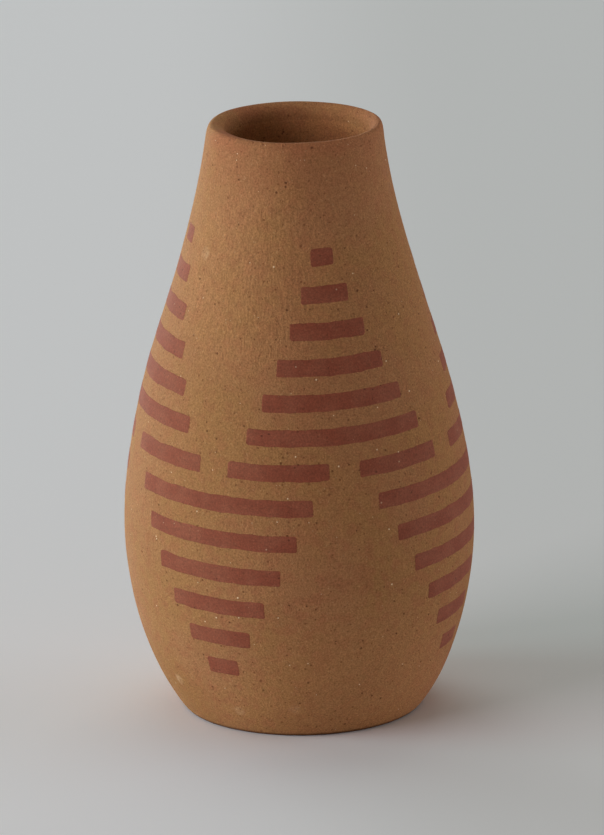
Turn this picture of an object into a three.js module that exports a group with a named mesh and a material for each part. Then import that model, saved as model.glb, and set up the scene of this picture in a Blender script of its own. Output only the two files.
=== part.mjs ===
// Hand-built earthenware vase with a pattern of painted slip bars.
// Millimetres and degrees, +Z up, the origin at the middle of the foot, the front facing -Y.
// The clay is three pieces luted one on the other: a floor pad, the wall raised on it, and a rim coil.
// The bars are thin layers of red slip brushed on the wall: a stepped triangle that points up and one
// that points down, four times round the vase, with a belt of short bars between them.

import * as THREE from 'three';

// Height and girth
const vessel_height = 250;
const belly_diameter = 145;
const belly_height = 78;
const foot_diameter = 97.4;
const heel_diameter = 110;
const heel_height = 8;
const rim_diameter = 73.8;

// How the wall leaves the heel and how it comes to the rim, measured from the vertical
const foot_flare_deg = 32;
const rim_lean_deg = 7;

// Fullness of the curve at the heel, under the belly, over the belly and under the rim
const heel_pull = 24;
const under_belly_pull = 21;
const over_belly_pull = 60;
const under_rim_pull = 56;

// Clay thickness
const floor_thickness = 7;
const wall_thickness = 6.4;
const lip_thickness = 7;
const rim_coil_side = 3.5;
const floor_cove = 6;

// Painted pattern
const bars_in_motif = 6;
const top_row_below_rim = 46;
const bottom_row_above_foot = 33;
const bar_height = 6.9;
const side_rise = 2.3;
const row_wander = 0.7;
const rows_per_wander = 8;
const shortest_bar_deg = 12;
const upper_longest_bar_deg = 67.6;
const lower_longest_bar_deg = 68.4;
const belt_gap_deg = 11;
const bar_corner = 0.9;
const slip_thickness = 0.3;
const slip_clearance = 0.1;

// Smoothness of the round shapes
const facets_round = 72;
const steps_lower = 7;
const steps_upper = 11;
const steps_heel = 3;
const steps_cove = 3;
const steps_lip = 6;

const clay = new THREE.MeshStandardMaterial({ color: '#a8764c', roughness: 0.9, metalness: 0 });
const slip = new THREE.MeshStandardMaterial({ color: '#80432f', roughness: 0.8, metalness: 0 });

// The outside of the vase is three curves that run smoothly into each other.
const lip_radius = lip_thickness / 2;
const rim_joint = vessel_height - lip_radius - rim_coil_side;
const flare = THREE.MathUtils.degToRad(foot_flare_deg);
const lean = THREE.MathUtils.degToRad(rim_lean_deg);
const flare_way = new THREE.Vector2(Math.sin(flare), Math.cos(flare));
const lean_way = new THREE.Vector2(-Math.sin(lean), Math.cos(lean));
const foot_edge = new THREE.Vector2(foot_diameter / 2, 0);
const heel_edge = new THREE.Vector2(heel_diameter / 2, heel_height);
const belly_edge = new THREE.Vector2(belly_diameter / 2, belly_height);
const rim_edge = new THREE.Vector2(rim_diameter / 2, rim_joint);

const heel_curve = new THREE.QuadraticBezierCurve(
  foot_edge,
  heel_edge.clone().addScaledVector(flare_way, -heel_height / flare_way.y),
  heel_edge
);
const lower_curve = new THREE.CubicBezierCurve(
  heel_edge,
  heel_edge.clone().addScaledVector(flare_way, heel_pull),
  belly_edge.clone().setY(belly_height - under_belly_pull),
  belly_edge
);
const upper_curve = new THREE.CubicBezierCurve(
  belly_edge,
  belly_edge.clone().setY(belly_height + over_belly_pull),
  rim_edge.clone().addScaledVector(lean_way, -under_rim_pull),
  rim_edge
);

// Finds the place on a rising curve that has the given height, by halving.
function placeAtHeight(curve, height) {
  let low = 0;
  let high = 1;
  for (let i = 0; i < 40; i++) {
    const middle = (low + high) / 2;
    if (curve.getPoint(middle).y < height) low = middle;
    else high = middle;
  }
  return low;
}

function outerCurveAt(height) {
  if (height < heel_height) return heel_curve;
  return height < belly_height ? lower_curve : upper_curve;
}

function outerRadius(height) {
  const curve = outerCurveAt(height);
  return curve.getPoint(placeAtHeight(curve, height)).x;
}

// The wall thickens evenly from the belly up to the lip.
function thicknessAt(height) {
  const share = THREE.MathUtils.clamp((height - belly_height) / (rim_joint - belly_height), 0, 1);
  return THREE.MathUtils.lerp(wall_thickness, lip_thickness, share);
}

// The inside radius lies one clay thickness in from the outside, square to the slope of the wall.
function innerRadius(height) {
  const curve = outerCurveAt(height);
  const slope = curve.getTangent(placeAtHeight(curve, height));
  return outerRadius(height) - thicknessAt(height) / slope.y;
}

// A list of heights from one end to the other, both included.
function heights(from, to, steps) {
  return Array.from({ length: steps + 1 }, (_, i) => THREE.MathUtils.lerp(from, to, i / steps));
}

// Turns an outline round the vase's axis. The outline holds radius and height.
function turned(outline) {
  return new THREE.LatheGeometry(outline, facets_round).rotateX(Math.PI / 2);
}

// The floor pad is a flat round of clay whose edge is the heel, rounded underneath.
function floorPadGeometry() {
  const edge = heights(0, floor_thickness, steps_heel).map((z) => new THREE.Vector2(outerRadius(z), z));
  return turned([
    new THREE.Vector2(0, 0),
    ...edge,
    new THREE.Vector2(0, floor_thickness)
  ]);
}

// The wall stands on the floor pad, with a cove of clay smoothed into the corner inside.
function wallGeometry() {
  const outside = [
    ...heights(floor_thickness, belly_height, steps_lower),
    ...heights(belly_height, rim_joint, steps_upper).slice(1)
  ];
  const cove_top = floor_thickness + floor_cove;
  const inside = [
    ...heights(rim_joint, belly_height, steps_upper),
    ...heights(belly_height, cove_top, steps_lower).slice(1)
  ];
  const cove_curve = new THREE.QuadraticBezierCurve(
    new THREE.Vector2(innerRadius(cove_top), cove_top),
    new THREE.Vector2(innerRadius(floor_thickness), floor_thickness),
    new THREE.Vector2(innerRadius(floor_thickness) - floor_cove, floor_thickness)
  );
  const outline = [
    ...outside.map((z) => new THREE.Vector2(outerRadius(z), z)),
    ...inside.map((z) => new THREE.Vector2(innerRadius(z), z)),
    ...cove_curve.getPoints(steps_cove).slice(1)
  ];
  return turned([...outline, outline[0]]);
}

// The rim coil sits on the wall, as thick as the lip, and ends in a half-round.
function rimCoilGeometry() {
  const lip_middle = new THREE.Vector2(rim_diameter / 2 - lip_radius, vessel_height - lip_radius);
  const half_round = Array.from({ length: steps_lip + 1 }, (_, i) => {
    const turn = (Math.PI * i) / steps_lip;
    return new THREE.Vector2(Math.cos(turn), Math.sin(turn)).multiplyScalar(lip_radius).add(lip_middle);
  });
  return turned([
    rim_edge,
    ...half_round,
    new THREE.Vector2(innerRadius(rim_joint), rim_joint),
    rim_edge
  ]);
}

// The rows are level at the front and the back and rise a little towards the two sides.
// They were set out by eye, so they also stand a little high or low on the way down the wall.
const rows = 2 * bars_in_motif + 1;
const bottom_row = bottom_row_above_foot;
const row_pitch = (vessel_height - top_row_below_rim - bottom_row) / (rows - 1);

function rowHeight(row, angle) {
  const wander = row_wander * Math.cos((2 * Math.PI * (row - bars_in_motif)) / rows_per_wander);
  const even_height = bottom_row + (rows - 1 - row) * row_pitch;
  return even_height + wander + side_rise * Math.sin(angle) ** 2;
}

// Angles at which a bar's edge has a point: both ends, both corners, and the wall's own facets between.
function barAngles(from, to, corner) {
  const facet = (2 * Math.PI) / facets_round;
  const angles = [from, from + corner];
  for (let k = Math.ceil(from / facet); k * facet < to; k++) {
    if (k * facet > from + 1.5 * corner && k * facet < to - 1.5 * corner) angles.push(k * facet);
  }
  return [...angles, to - corner, to];
}

// A bar is a thin box bent round the wall: its length runs round, its height up, its depth outwards.
function barGeometry(row, from_deg, to_deg) {
  const from = THREE.MathUtils.degToRad(from_deg);
  const to = THREE.MathUtils.degToRad(to_deg);
  const corner = bar_corner / outerRadius(rowHeight(row, (from + to) / 2));
  const angles = barAngles(from, to, corner);
  const last = angles.length - 1;
  const box = new THREE.BoxGeometry(last, 1, 1, last, 1, 1);
  const position = box.attributes.position;
  for (let i = 0; i < position.count; i++) {
    const column = Math.round(position.getX(i) + last / 2);
    const half_height = bar_height / 2 - (column === 0 || column === last ? bar_corner : 0);
    const height = rowHeight(row, angles[column]) + Math.sign(position.getY(i)) * half_height;
    const layer = position.getZ(i) > 0 ? slip_clearance + slip_thickness : slip_clearance;
    const radius = outerRadius(height) + layer;
    const angle = angles[column];
    position.setXYZ(i, radius * Math.sin(angle), -radius * Math.cos(angle), height);
  }
  return box;
}

const vase = new THREE.Group();

function addPiece(name, geometry, material) {
  const piece = new THREE.Mesh(geometry, material);
  piece.name = name;
  vase.add(piece);
}

addPiece('floor_pad', floorPadGeometry(), clay);
addPiece('vessel_wall', wallGeometry(), clay);
addPiece('rim_coil', rimCoilGeometry(), clay);

// Where each stepped triangle was laid out, and how far round its middle drifts from row to row.
const sides = ['front', 'right', 'back', 'left'];
const upper_middle_deg = [14.4, 105.6, 194.4, 283.1];
const lower_middle_deg = [330.4, 64.2, 152.4, 241.4];
const upper_drift_deg = [0.3, 0, 0, 0];
const lower_drift_deg = [0, 0.9, 0, 0];

function barMiddle(middle_deg, drift_deg, place) {
  return middle_deg + drift_deg * (place - (bars_in_motif - 1) / 2);
}

sides.forEach((side_name, side) => {
  for (let place = 0; place < bars_in_motif; place++) {
    const share = place / (bars_in_motif - 1);
    const upper_half = THREE.MathUtils.lerp(shortest_bar_deg, upper_longest_bar_deg, share) / 2;
    const upper_middle = barMiddle(upper_middle_deg[side], upper_drift_deg[side], place);
    addPiece(
      `slip_bar_${side_name}_upper_${place + 1}`,
      barGeometry(place, upper_middle - upper_half, upper_middle + upper_half),
      slip
    );
    const lower_half = THREE.MathUtils.lerp(lower_longest_bar_deg, shortest_bar_deg, share) / 2;
    const lower_middle = barMiddle(lower_middle_deg[side], lower_drift_deg[side], place);
    addPiece(
      `slip_bar_${side_name}_lower_${place + 1}`,
      barGeometry(bars_in_motif + 1 + place, lower_middle - lower_half, lower_middle + lower_half),
      slip
    );
  }
});

// The belt has a gap near the middle of every upper and lower triangle, and a bar from gap to gap.
const belt_gaps_deg = [16.2, 60.4, 105.6, 152.4, 194.4, 241.4, 283.1, 329.5];
belt_gaps_deg.forEach((middle, i) => {
  const next = i + 1 < belt_gaps_deg.length ? belt_gaps_deg[i + 1] : belt_gaps_deg[0] + 360;
  addPiece(
    `slip_bar_belt_${i + 1}`,
    barGeometry(bars_in_motif, middle + belt_gap_deg / 2, next - belt_gap_deg / 2),
    slip
  );
});

export default vase;
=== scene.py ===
# Hand-built earthenware vase with a pattern of painted slip bars, dressed on its CAD frame.
# Metres, +Z up, the front facing -Y. Angles run round the vase from the front towards +X.
import math

import bmesh
import bpy
import numpy as np
from mathutils import Matrix, Vector, geometry, noise


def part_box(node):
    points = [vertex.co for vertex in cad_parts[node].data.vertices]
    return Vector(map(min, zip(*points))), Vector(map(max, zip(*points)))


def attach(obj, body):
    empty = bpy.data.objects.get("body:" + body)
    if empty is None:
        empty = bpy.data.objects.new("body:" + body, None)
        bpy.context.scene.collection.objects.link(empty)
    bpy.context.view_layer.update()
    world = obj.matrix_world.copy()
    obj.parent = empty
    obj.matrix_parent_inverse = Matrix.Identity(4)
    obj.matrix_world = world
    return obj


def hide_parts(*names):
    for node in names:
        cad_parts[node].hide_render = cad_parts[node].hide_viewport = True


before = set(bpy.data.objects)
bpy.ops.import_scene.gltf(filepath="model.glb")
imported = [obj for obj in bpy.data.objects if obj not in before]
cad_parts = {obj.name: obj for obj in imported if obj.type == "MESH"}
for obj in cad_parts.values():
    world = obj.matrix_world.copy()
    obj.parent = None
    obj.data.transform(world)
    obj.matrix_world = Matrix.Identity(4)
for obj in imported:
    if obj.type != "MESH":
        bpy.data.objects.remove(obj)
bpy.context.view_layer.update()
mm = 0.001

# Clay body
# One hollow piece of fired earthenware. A maker pats out a floor, raises the wall on it by hand, lutes a
# coil on top and smooths it into a round lip, then scrapes all the joins away, so one mesh stands for them.
vessel_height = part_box("rim_coil")[1].z
rim_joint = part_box("vessel_wall")[1].z
floor_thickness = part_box("floor_pad")[1].z
belly_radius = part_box("vessel_wall")[1].x
rim_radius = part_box("rim_coil")[1].x
belly_height = 78 * mm
foot_radius = 48.7 * mm
heel_radius = 55 * mm
heel_height = 8 * mm
wall_thickness = 6.4 * mm
lip_thickness = 7 * mm
floor_cove = 6 * mm
foot_flare = math.radians(32)
rim_lean = math.radians(7)
heel_pull = 24 * mm
under_belly_pull = 21 * mm
over_belly_pull = 60 * mm
under_rim_pull = 56 * mm

up = Vector((0, 1))
sideways = Vector((1, 0))
flare = Vector((math.sin(foot_flare), math.cos(foot_flare)))
lean = Vector((-math.sin(rim_lean), math.cos(rim_lean)))
foot_edge = Vector((foot_radius, 0))
heel_edge = Vector((heel_radius, heel_height))
belly_edge = Vector((belly_radius, belly_height))
rim_edge = Vector((rim_radius, rim_joint))
heel_bend = heel_edge - flare * (heel_height / flare.y)
heel_points = geometry.interpolate_bezier(
    foot_edge, foot_edge.lerp(heel_bend, 2 / 3), heel_edge.lerp(heel_bend, 2 / 3), heel_edge, 10
)
lower_points = geometry.interpolate_bezier(
    heel_edge, heel_edge + flare * heel_pull, belly_edge - up * under_belly_pull, belly_edge, 60
)
upper_points = geometry.interpolate_bezier(
    belly_edge, belly_edge + up * over_belly_pull, rim_edge - lean * under_rim_pull, rim_edge, 120
)
outline = np.array([tuple(p) for p in heel_points + lower_points[1:] + upper_points[1:]])


def share_between(value, low, high):
    """0 below low, 1 above high, and evenly between them."""
    return min(max((value - low) / (high - low), 0), 1)


def outer_radius(height):
    return float(np.interp(height, outline[:, 1], outline[:, 0]))


def outer_slope(height):
    """How far the wall leans outwards for each metre up."""
    step = 0.5 * mm
    return (outer_radius(height + step) - outer_radius(height - step)) / (2 * step)


def inner_radius(height):
    share = share_between(height, belly_height, rim_joint)
    thickness = wall_thickness + (lip_thickness - wall_thickness) * share
    return outer_radius(height) - thickness * math.hypot(1, outer_slope(height))


# How far a hand's swells and flats stand out, and how long they are. The inside is left the rougher.
wide_swell = 0.66 * mm
wide_length = 50 * mm
middling_swell = 0.1 * mm
middling_length = 21 * mm
scrape_swell = 0.05 * mm
scrape_width = 7 * mm
scrape_length = 70 * mm
outside_seed = 454.84
inside_seed = 8.0
inside_roughness = 1.4

# The wall stands a little to the right at its foot, a little to the left higher up, and comes back.
foot_sway = 0.39 * mm
sway_swing = 0.74 * mm
sway_height = 290 * mm


def hand_swell(place, seed):
    """The slow swells and flats that a hand leaves in a raised wall, as a distance outwards."""
    wide = noise.noise(place / wide_length + Vector((seed, 0, 0)))
    middling = noise.noise(place / middling_length + Vector((0, seed, 0)))
    scrape_place = (place.x / scrape_width, place.y / scrape_width, place.z / scrape_length)
    scraped = noise.noise(Vector(scrape_place))
    return middling_swell * middling + scrape_swell * scraped - wide_swell * wide


def sway(height):
    """How far the raised wall wanders sideways from the middle of its foot."""
    return Vector((foot_sway - sway_swing * math.sin(math.pi * height / sway_height) ** 2, 0, 0))


def outside_point(angle, height, layer):
    """The point that lies this far off the finished outside, square to the wall."""
    outwards = Vector((math.sin(angle), -math.cos(angle), 0))
    place = outwards * outer_radius(height) + Vector((0, 0, height))
    square = Vector((outwards.x, outwards.y, -outer_slope(height))).normalized()
    return place + outwards * hand_swell(place, outside_seed) + sway(height) + square * layer


# The lip comes up from the wall, turns over its crest and slopes off into the mouth.
crest_inset = 2.6 * mm
outer_lip_pull = 4.0 * mm
crest_pull = 1.9 * mm
inner_slope_length = 2.4 * mm
inner_slope_drop = 0.35 * mm
inner_lip_pull = 5.2 * mm
lip_crest = Vector((rim_radius - crest_inset, vessel_height))
lip_inside = Vector((inner_radius(rim_joint), rim_joint))
lip_slope = lip_crest - sideways * inner_slope_length - up * inner_slope_drop
lip_points = geometry.interpolate_bezier(
    rim_edge, rim_edge + lean * outer_lip_pull, lip_crest + sideways * crest_pull, lip_crest, 14
)
lip_points += geometry.interpolate_bezier(
    lip_crest, lip_slope, lip_inside + up * inner_lip_pull, lip_inside, 16
)[1:]

# The cove is the clay smoothed into the corner between the wall and the floor inside.
cove_reach = 2 * mm
cove_roundness = 0.6
cove_top = floor_thickness + floor_cove
cove_edge = Vector((inner_radius(cove_top), cove_top))
cove_corner = Vector((cove_edge.x - cove_reach, floor_thickness))
floor_edge = Vector((cove_edge.x - cove_reach - floor_cove, floor_thickness))
cove_points = geometry.interpolate_bezier(
    cove_edge,
    cove_edge.lerp(cove_corner, cove_roundness),
    floor_edge.lerp(cove_corner, cove_roundness),
    floor_edge,
    8,
)

# The section runs from the middle of the underside, out and up, over the lip, down and back to the middle.
outer_step = 1.7 * mm
inner_step = 2.5 * mm
turn_steps = 300
section = [Vector((r * mm, 0)) for r in (0, 12, 24, 34, 42, 46)]
section += heel_points[:-1]
section += [Vector((outer_radius(z), z)) for z in np.arange(heel_height, rim_joint, outer_step)]
section += lip_points
section += [Vector((inner_radius(z), z)) for z in np.arange(rim_joint, cove_top, -inner_step)]
section += cove_points
section += [Vector((r * mm, floor_thickness)) for r in (34, 24, 12, 0)]

clay_mesh = bmesh.new()
section_verts = [clay_mesh.verts.new((0, -p.x, p.y)) for p in section]
section_edges = [clay_mesh.edges.new(pair) for pair in zip(section_verts, section_verts[1:])]
bmesh.ops.spin(
    clay_mesh,
    geom=section_verts + section_edges,
    cent=(0, 0, 0),
    axis=(0, 0, 1),
    angle=2 * math.pi,
    steps=turn_steps,
    use_merge=True,
)
bmesh.ops.remove_doubles(clay_mesh, verts=clay_mesh.verts, dist=0.01 * mm)

# The foot stays flat. The neck settled as it dried: the mouth a little to the right, the lip up and down
# by a hair and lower at the back, with a fuller inner edge at the left.
middle_radius = 1 * mm
flat_foot_height = 12 * mm
neck_bottom = 215 * mm
neck_length = 35 * mm
mouth_offset = 1.4 * mm
lip_waver = 0.3 * mm
lip_waver_turn = 1.3
back_drop = 0.18 * mm
left_edge_depth = 5 * mm
left_fullness = 0.8
unscraped = clay_mesh.verts.layers.float.new("unscraped")
for vert in clay_mesh.verts:
    radius = math.hypot(vert.co.x, vert.co.y)
    if radius < middle_radius:
        continue
    outwards = Vector((vert.co.x, vert.co.y, 0)) / radius
    inset = outer_radius(min(vert.co.z, rim_joint)) - radius
    outside = inset < wall_thickness / 2
    vert[unscraped] = 0.0 if outside or vert.co.z > rim_joint else 1.0
    if outside:
        swell = hand_swell(vert.co, outside_seed)
    else:
        swell = inside_roughness * hand_swell(vert.co, inside_seed)
    standing = min(vert.co.z / flat_foot_height, 1)
    settling = share_between(vert.co.z, neck_bottom, neck_bottom + neck_length) ** 2
    off_middle = mouth_offset * share_between(inset, 0, lip_thickness)
    uneven = lip_waver * noise.noise(outwards * lip_waver_turn + Vector((5, 5, 5)))
    back_dip = back_drop * (1 + outwards.y)
    drop = min(max(vessel_height - vert.co.z, 0), left_edge_depth)
    full = left_fullness * max(-outwards.x, 0) ** 3 * drop * (1 - drop / left_edge_depth)
    full *= share_between(inset, crest_inset, crest_inset + 1 * mm)
    settled = Vector((off_middle, 0, uneven - back_dip + full)) * settling
    vert.co += outwards * swell * standing + sway(vert.co.z) + settled
bmesh.ops.recalc_face_normals(clay_mesh, faces=clay_mesh.faces)


def finish_mesh(mesh, name):
    """Turns a bmesh into a smooth-shaded object that sits at the origin."""
    for face in mesh.faces:
        face.smooth = True
    data = bpy.data.meshes.new(name)
    mesh.to_mesh(data)
    mesh.free()
    piece = bpy.data.objects.new(name, data)
    bpy.context.scene.collection.objects.link(piece)
    return piece


class Finish:
    """A material's nodes, with short calls for the few kinds that clay, slip and paper need."""

    def __init__(self, name, roughness, gloss):
        self.material = bpy.data.materials.new(name)
        self.material.use_nodes = True
        self.nodes = self.material.node_tree.nodes
        self.links = self.material.node_tree.links
        self.shader = self.nodes["Principled BSDF"]
        self.shader.inputs["Roughness"].default_value = roughness
        self.shader.inputs["Specular IOR Level"].default_value = gloss
        self.place = self.nodes.new("ShaderNodeTexCoord").outputs["Object"]

    def put(self, socket, value):
        if isinstance(value, bpy.types.NodeSocket):
            self.links.new(value, socket)
        else:
            socket.default_value = value

    def axis(self, letter):
        node = self.nodes.new("ShaderNodeSeparateXYZ")
        self.put(node.inputs[0], self.place)
        return node.outputs[letter]

    def stretched(self, scale):
        node = self.nodes.new("ShaderNodeMapping")
        self.put(node.inputs["Vector"], self.place)
        node.inputs["Scale"].default_value = scale
        return node.outputs["Vector"]

    def noise(self, size, detail=2.0, place=None, rough=0.5):
        """Cloudy noise from 0 to 1 whose features are about size metres across."""
        node = self.nodes.new("ShaderNodeTexNoise")
        self.put(node.inputs["Vector"], place or self.place)
        node.inputs["Scale"].default_value = 1 / size
        node.inputs["Detail"].default_value = detail
        node.inputs["Roughness"].default_value = rough
        return node.outputs["Fac"]

    def ramp(self, value, low, high, to_low=0.0, to_high=1.0):
        node = self.nodes.new("ShaderNodeMapRange")
        node.interpolation_type = "SMOOTHSTEP"
        self.put(node.inputs["Value"], value)
        self.put(node.inputs["From Min"], low)
        self.put(node.inputs["From Max"], high)
        self.put(node.inputs["To Min"], to_low)
        self.put(node.inputs["To Max"], to_high)
        return node.outputs["Result"]

    def math(self, kind, a, b):
        node = self.nodes.new("ShaderNodeMath")
        node.operation = kind
        self.put(node.inputs[0], a)
        self.put(node.inputs[1], b)
        return node.outputs[0]

    def add(self, a, b):
        return self.math("ADD", a, b)

    def take(self, a, b):
        return self.math("SUBTRACT", a, b)

    def times(self, a, b):
        return self.math("MULTIPLY", a, b)

    def blend(self, share, a, b, kind="MIX"):
        node = self.nodes.new("ShaderNodeMix")
        node.data_type = "RGBA"
        node.blend_type = kind
        self.put(node.inputs["Factor"], share)
        self.put(node.inputs["A"], a)
        self.put(node.inputs["B"], b)
        return node.outputs["Result"]

    def darken(self, base, shade):
        return self.blend(1.0, base, shade, "MULTIPLY")

    def grains(self, spacing, radius, kept):
        """Round grains in the clay where the surface cuts them: 1 inside a grain, 0 outside.

        They run from half to 1.3 times the radius, and only the given share of them is kept.
        """
        node = self.nodes.new("ShaderNodeTexVoronoi")
        self.put(node.inputs["Vector"], self.place)
        node.inputs["Scale"].default_value = 1 / spacing
        draws = self.nodes.new("ShaderNodeSeparateColor")
        self.put(draws.inputs["Color"], node.outputs["Color"])
        size = self.ramp(draws.outputs["Red"], 0, 1, 0.5 * radius / spacing, 1.3 * radius / spacing)
        inside = self.ramp(self.math("DIVIDE", node.outputs["Distance"], size), 0.7, 1.2, 1, 0)
        chosen = self.math("LESS_THAN", draws.outputs["Green"], kept)
        return self.times(inside, chosen)

    def patch(self, centre, radius):
        """1 around a place on the piece, fading to 0 at the radius."""
        node = self.nodes.new("ShaderNodeVectorMath")
        node.operation = "DISTANCE"
        self.put(node.inputs[0], self.place)
        node.inputs[1].default_value = centre
        return self.ramp(node.outputs["Value"], 0.35 * radius, radius, 1, 0)

    def roughen(self, height, strength, distance):
        bump = self.nodes.new("ShaderNodeBump")
        bump.inputs["Strength"].default_value = strength
        bump.inputs["Distance"].default_value = distance
        self.put(bump.inputs["Height"], height)
        self.put(self.shader.inputs["Normal"], bump.outputs["Normal"])


def colour(red, green, blue):
    """A colour as read off a screen, from 0 to 255, as the light that it stands for."""
    parts = [c / 255 for c in (red, green, blue)]
    return [c / 12.92 if c <= 0.04045 else ((c + 0.055) / 1.055) ** 2.4 for c in parts] + [1]


def add_body_of_clay(finish, base, coarse, pale):
    """The grain, sand, grit and pits in clay and slip alike. Gives back the colour and the height."""
    grain = finish.take(finish.noise(0.7 * mm, 3, rough=0.6), 0.5)
    crumbs = finish.take(finish.noise(2.0 * mm, 2), 0.5)
    sand = finish.grains(1.1 * mm, 0.3 * mm, 0.25)
    motes = finish.grains(2.1 * mm, 0.4 * mm, 0.35)
    pits = finish.grains(3.6 * mm, 0.4 * mm, 0.42)
    grit = finish.grains(4.2 * mm, 0.3 * mm, 0.34)
    drift = finish.ramp(finish.noise(8 * mm, 1), 0.64, 0.72)
    fine_grit = finish.times(finish.grains(1.3 * mm, 0.2 * mm, 0.5), drift)
    uneven = finish.times(finish.add(finish.times(grain, 1.5), finish.times(crumbs, 0.12)), coarse)
    tone = finish.darken(base, finish.add(uneven, 1))
    # Pits and motes are hollows too: their dark colours are partly the clay's own and partly painted shade
    # in the hollows.
    specks = [
        (motes, 0.5, colour(104, 54, 32)),
        (sand, 0.14 * pale, colour(228, 186, 136)),
        (pits, 0.7, colour(82, 40, 22)),
        (fine_grit, 0.5 * pale, colour(235, 205, 165)),
        (grit, 0.85 * pale, colour(238, 212, 175)),
    ]
    for speck, strength, tint in specks:
        tone = finish.blend(finish.times(speck, strength), tone, tint)
    hollows = finish.add(pits, finish.times(motes, 0.6))
    height = finish.add(finish.take(uneven, hollows), finish.times(grit, 0.3))
    return tone, height


# The clay fired unevenly: ruddy in blotches and towards the rim. The foot is darker and duller at its left,
# partly its own tone and partly painted shade, and paler at its front. Each patch, here and below, has its
# place, reach and strength.
clay = Finish("clay", roughness=0.9, gloss=0.15)
clay_z = clay.axis("Z")
foot_tones_and_shade = [
    # Darker at the left of the foot: partly clay tone, partly painted shade.
    ((-50 * mm, -20 * mm, 8 * mm), 42 * mm, 0.6, colour(146, 100, 57)),
    ((22 * mm, -50 * mm, 18 * mm), 60 * mm, 0.45, colour(179, 128, 81)),
]
ground = clay.blend(
    clay.ramp(clay.noise(45 * mm, 3), 0.38, 0.62), colour(159, 113, 70), colour(161, 112, 74)
)
ruddy_share = clay.ramp(clay_z, 0, 160 * mm, 0.6, 0.3)
ruddy = clay.times(clay.ramp(clay.noise(5 * mm, 3), 0.42, 0.66), ruddy_share)
ground = clay.blend(ruddy, ground, colour(157, 98, 67))
near_rim = clay.ramp(clay_z, 215 * mm, 250 * mm)
rim_flush = clay.times(near_rim, clay.ramp(clay.noise(30 * mm, 2), 0.3, 0.6))
flush_share = clay.ramp(clay_z, 242 * mm, 248 * mm, 0.4, 0.75)
ground = clay.blend(clay.times(rim_flush, flush_share), ground, colour(157, 96, 65))

# Upright scrape marks, deepest on the upper front, where the rubbed clay is also a little paler.
scraped_place = (-17 * mm, -46 * mm, 195 * mm)
scraped_reach = 55 * mm
scrapes = clay.take(clay.noise(1.0 * mm, 2, clay.stretched((1.0, 1.0, 0.06))), 0.5)
scraped = clay.ramp(clay.patch(scraped_place, scraped_reach), 0, 1, 0.25, 1.0)
scrape_shade = clay.times(scrapes, clay.times(scraped, 0.65))
# The scraped patch is up to 7 per cent paler, and the wall's lowest 40 mm is paler by as much, fading
# upwards.
paler_where_scraped_and_low = clay.add(clay.ramp(scraped, 0.25, 1, 1, 1.07), clay.ramp(clay_z, 8 * mm, 40 * mm, 0.07, 0))
ground = clay.darken(ground, clay.add(scrape_shade, paler_where_scraped_and_low))
for place, reach, strength, tint in foot_tones_and_shade:
    ground = clay.blend(clay.times(clay.patch(place, reach), strength), ground, tint)

# Four rubbed pale marks, a painted contact shadow along the foot where it meets the table, and the inside,
# made a quarter paler.
smudges = [
    ((-50.5 * mm, -34 * mm, 20.5 * mm), 3.4 * mm, 0.42),
    ((-26 * mm, -51 * mm, 12 * mm), 3.2 * mm, 0.26),
    ((-3 * mm, -57 * mm, 15.5 * mm), 4 * mm, 0.42),
    ((-38 * mm, -27 * mm, 202 * mm), 3.6 * mm, 0.4),
]
broken = clay.ramp(clay.noise(2.6 * mm, 2), 0.35, 0.6, 0.3, 1.0)
for place, reach, strength in smudges:
    smudge = clay.times(clay.patch(place, reach), broken)
    ground = clay.blend(clay.times(smudge, strength), ground, colour(212, 176, 136))
# Painted contact shadow: the lowest 2 mm of the foot darkened towards dark brown.
ground = clay.blend(clay.ramp(clay_z, 0.3 * mm, 2.0 * mm, 0.85, 0), ground, colour(70, 38, 22))
# The inside below the rim joint is made a quarter paler.
inside_mark = clay.nodes.new("ShaderNodeAttribute")
inside_mark.attribute_name = "unscraped"
ground = clay.darken(ground, clay.add(clay.times(inside_mark.outputs["Fac"], 0.25), 1))
clay_tone, clay_height = add_body_of_clay(clay, ground, coarse=1.0, pale=1.0)
clay.put(clay.shader.inputs["Base Color"], clay_tone)
clay.roughen(clay.add(clay_height, clay.times(scrape_shade, 1.6)), strength=0.7, distance=0.3 * mm)

clay_body = finish_mesh(clay_mesh, "clay_body")
clay_body.data.materials.append(clay.material)
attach(clay_body, "root")
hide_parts("floor_pad", "vessel_wall", "rim_coil")

# Slip bars
# Short bars of red-brown slip, a runny clay brushed on the scraped wall before the firing. Each is a layer
# about as thick as paper, with edges that waver a little with the brush and corners that it rounds off.
slip_thickness = 0.07 * mm
slip_soak = 0.15 * mm
bar_corner = 1.0 * mm
corner_spread = 0.8
edge_fall = 0.5 * mm
brush_waver = 0.4 * mm
long_waver = 7 * mm
short_waver = 2.6 * mm
column_gap = 0.004
rows_in_bar = 14
column_width = 0.9 * mm
end_columns = 30

slip = Finish("slip", roughness=0.85, gloss=0.3)
streaks = slip.noise(1.6 * mm, 3, slip.stretched((0.12, 0.12, 1.0)))
washes = slip.noise(9 * mm, 3)
coat = slip.blend(slip.ramp(washes, 0.35, 0.65), colour(134, 69, 48), colour(139, 77, 55))
coat = slip.darken(coat, slip.ramp(streaks, 0.3, 0.7, 0.95, 1.04))
slip_tone, slip_height = add_body_of_clay(slip, coat, coarse=0.8, pale=0.4)
slip.put(slip.shader.inputs["Base Color"], slip_tone)
slip.roughen(slip_height, strength=0.4, distance=0.2 * mm)


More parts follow.
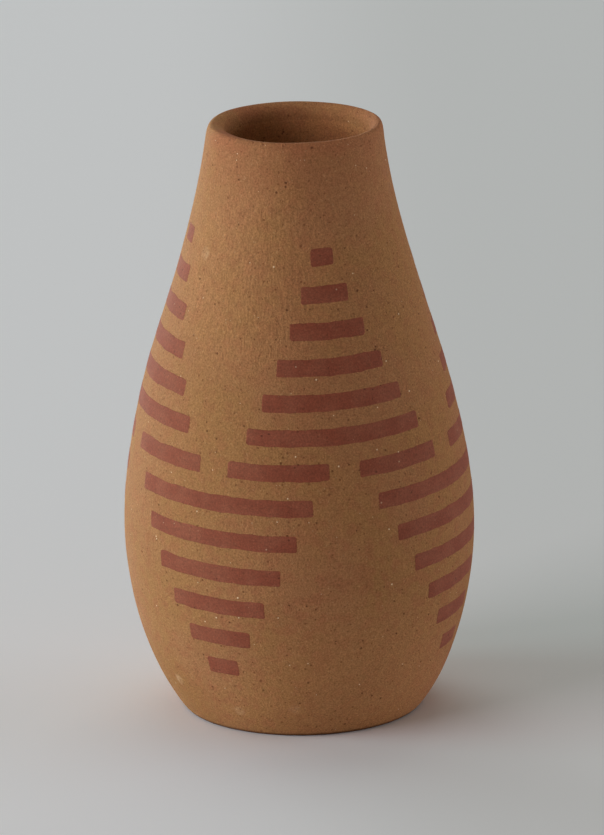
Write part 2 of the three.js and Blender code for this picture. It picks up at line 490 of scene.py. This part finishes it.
def bar_course(node):
    """The bar's way round the wall, read off its solid.

    Gives the middle angle and, at each column of points, the angle from there and the low and high edge.
    """
    places = [vert.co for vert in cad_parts[node].data.vertices]
    middle = math.atan2(sum(p.x for p in places), -sum(p.y for p in places))
    columns = []
    turns = [(math.atan2(p.x, -p.y) - middle + math.pi) % math.tau - math.pi for p in places]
    for angle, height in sorted(zip(turns, [p.z for p in places])):
        if not columns or angle - columns[-1][0] > column_gap:
            columns.append((angle, []))
        columns[-1][1].append(height)
    angles = [angle for angle, heights in columns]
    low = [min(heights) for angle, heights in columns]
    high = [max(heights) for angle, heights in columns]
    return middle, angles, low, high


def corner_cut(from_end, corner):
    """How much a round corner takes off the bar's half height, this far from the bar's end."""
    if from_end >= corner:
        return 0.0
    return corner - math.sqrt(corner**2 - (corner - from_end) ** 2)


def brushed_bar(node, seed):
    """One bar: a grid bent onto the wall, rounded at its corners, thinning to nothing at its edges."""
    middle, angles, low, high = bar_course(node)
    half_height = max(h - l for h, l in zip(high, low)) / 2
    radius = outer_radius((low[0] + high[0]) / 2)
    length = (angles[-1] - angles[0]) * radius
    columns = end_columns + round(length / column_width)
    bar = bmesh.new()
    bmesh.ops.create_grid(bar, x_segments=columns, y_segments=rows_in_bar, size=1)
    for vert in bar.verts:
        end = math.copysign(1, vert.co.x)
        side = math.copysign(1, vert.co.y)
        along = (0.5 + 0.5 * math.sin(vert.co.x * math.pi / 2)) * length
        across = math.sin(vert.co.y * math.pi / 2)
        from_end = min(along, length - along)
        which_corner = Vector((3 * end, 5 * side, seed * 2.3))
        corner = bar_corner * (1 + corner_spread * noise.noise(which_corner))
        half = half_height - corner_cut(from_end, corner)
        waver = noise.noise(Vector((along / long_waver, across * 0.8, seed * 7.3)))
        waver += 0.5 * noise.noise(Vector((along / short_waver, across, seed * 3.1 + 40)))
        end_waver = noise.noise(Vector((across * 1.4, 2 * end, seed * 5.7)))
        end_share = abs(vert.co.x) ** 3
        turn = angles[0] + (along + end * abs(end_waver) * brush_waver * end_share) / radius
        centre = (np.interp(turn, angles, low) + np.interp(turn, angles, high)) / 2
        height = centre + across * half + waver * brush_waver * across
        edge = min(half * (1 - abs(across)), from_end)
        layer = slip_thickness * min(edge / edge_fall, 1) ** 0.5
        vert.co = outside_point(middle + turn, height, layer)
    bmesh.ops.recalc_face_normals(bar, faces=bar.faces)
    bmesh.ops.solidify(bar, geom=bar.faces[:], thickness=slip_thickness + slip_soak)
    piece = finish_mesh(bar, node.replace("slip_bar", "brushed_bar"))
    piece.data.materials.append(slip.material)
    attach(piece, "root")
    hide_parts(node)


bar_nodes = sorted(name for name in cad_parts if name.startswith("slip_bar"))
for number, node in enumerate(bar_nodes):
    brushed_bar(node, number)

# Floor
# A wide sheet of pale grey paper that the vase stands on. Its colour is painted paler to the left, a
# painted falloff of the window light across it. It reaches past the view on every side.
paper_reach = 6
paper_pale_x = -80 * mm
paper_grey_x = 90 * mm
floor_mesh = bmesh.new()
bmesh.ops.create_grid(floor_mesh, x_segments=1, y_segments=1, size=paper_reach)
floor = finish_mesh(floor_mesh, "floor")
paper = Finish("paper", roughness=0.9, gloss=0.1)
# Painted light: the paper fades from paler at the left to greyer at the right.
painted_light_falloff = paper.ramp(paper.axis("X"), paper_pale_x, paper_grey_x)
paper_tone = paper.blend(painted_light_falloff, colour(242, 241, 245), colour(226, 226, 228))
paper.put(paper.shader.inputs["Base Color"], paper_tone)
floor.data.materials.append(paper.material)

# Light
# Soft windows low on the left, a pale wall's bounce on the right, and a little from above and all round.
# All stand well beyond the floor's middle, so that none shows when the vase is seen from another side.
lamp_distance = 8
room_light = 0.204
background_light = 0.5


def soft_lamp(name, turn_deg, rise_deg, width, height, power, tint):
    """A soft lamp that looks at the vase's middle from a turn round it and a rise above level."""
    lamp = bpy.data.lights.new(name, "AREA")
    lamp.shape = "RECTANGLE"
    lamp.size = width
    lamp.size_y = height
    lamp.energy = power
    lamp.color = tint
    holder = bpy.data.objects.new(name, lamp)
    bpy.context.scene.collection.objects.link(holder)
    turn = math.radians(turn_deg)
    rise = math.radians(rise_deg)
    way = Vector((math.sin(turn) * math.cos(rise), -math.cos(turn) * math.cos(rise), math.sin(rise)))
    holder.location = Vector((0, 0, vessel_height / 2)) + way * lamp_distance
    holder.rotation_euler = (-way).to_track_quat("-Z", "Y").to_euler()


soft_lamp("front_window", -60, 20, 4.4, 4.4, 275, (1.0, 0.9, 0.95))
soft_lamp("side_window", -90, 5, 2.9, 2.9, 448, (0.72, 1.0, 1.0))
soft_lamp("back_window", -140, 5, 5.5, 1.8, 332, (0.79, 0.94, 1.0))
soft_lamp("pale_wall", 100, 5, 5.8, 1.8, 242, (1.0, 0.95, 0.98))
soft_lamp("ceiling", 180, 65, 5.5, 4.4, 89, (0.92, 1.0, 0.92))

# The room gives one level of light to the things in it, and shows as another where it is seen.
world = bpy.data.worlds.new("room")
bpy.context.scene.world = world
world.use_nodes = True
world_nodes = world.node_tree.nodes
world_links = world.node_tree.links
background = world_nodes["Background"]
background.inputs["Color"].default_value = (1.0, 0.96, 0.85, 1)
light_path = world_nodes.new("ShaderNodeLightPath")
seen = light_path.outputs["Is Camera Ray"]
for kind in ("Is Glossy Ray", "Is Transmission Ray"):
    either = world_nodes.new("ShaderNodeMath")
    either.operation = "MAXIMUM"
    world_links.new(seen, either.inputs[0])
    world_links.new(light_path.outputs[kind], either.inputs[1])
    seen = either.outputs[0]
brightness = world_nodes.new("ShaderNodeMapRange")
brightness.inputs["To Min"].default_value = room_light
brightness.inputs["To Max"].default_value = background_light
world_links.new(seen, brightness.inputs["Value"])
world_links.new(brightness.outputs["Result"], background.inputs["Strength"])

# Camera
# Four metres off and 16.5 degrees above level. The frame is 604 by 835 pixels, and the vase stands a
# little left of its middle and above it.
frame_height_px = 835
focal_px = 9634
camera_distance = 4.0
camera_rise = math.radians(16.5)
camera_roll = math.radians(-0.8)
aim_height = 129.4 * mm
vase_sideways_px = -3.9
vase_upwards_px = 15
camera = bpy.data.cameras.new("camera")
camera.sensor_fit = "VERTICAL"
camera.sensor_height = 36
camera.lens = focal_px * camera.sensor_height / frame_height_px
camera.shift_x = -vase_sideways_px / frame_height_px
camera.shift_y = -vase_upwards_px / frame_height_px
camera.clip_end = 30
viewer = bpy.data.objects.new("camera", camera)
bpy.context.scene.collection.objects.link(viewer)
back = Vector((0, -math.cos(camera_rise), math.sin(camera_rise)))
viewer.location = Vector((0, 0, aim_height)) + back * camera_distance
level = back.to_track_quat("Z", "Y")
viewer.rotation_euler = (level.to_matrix() @ Matrix.Rotation(camera_roll, 3, "Z")).to_euler()
bpy.context.scene.camera = viewer
bpy.context.scene.view_settings.view_transform = "Standard"
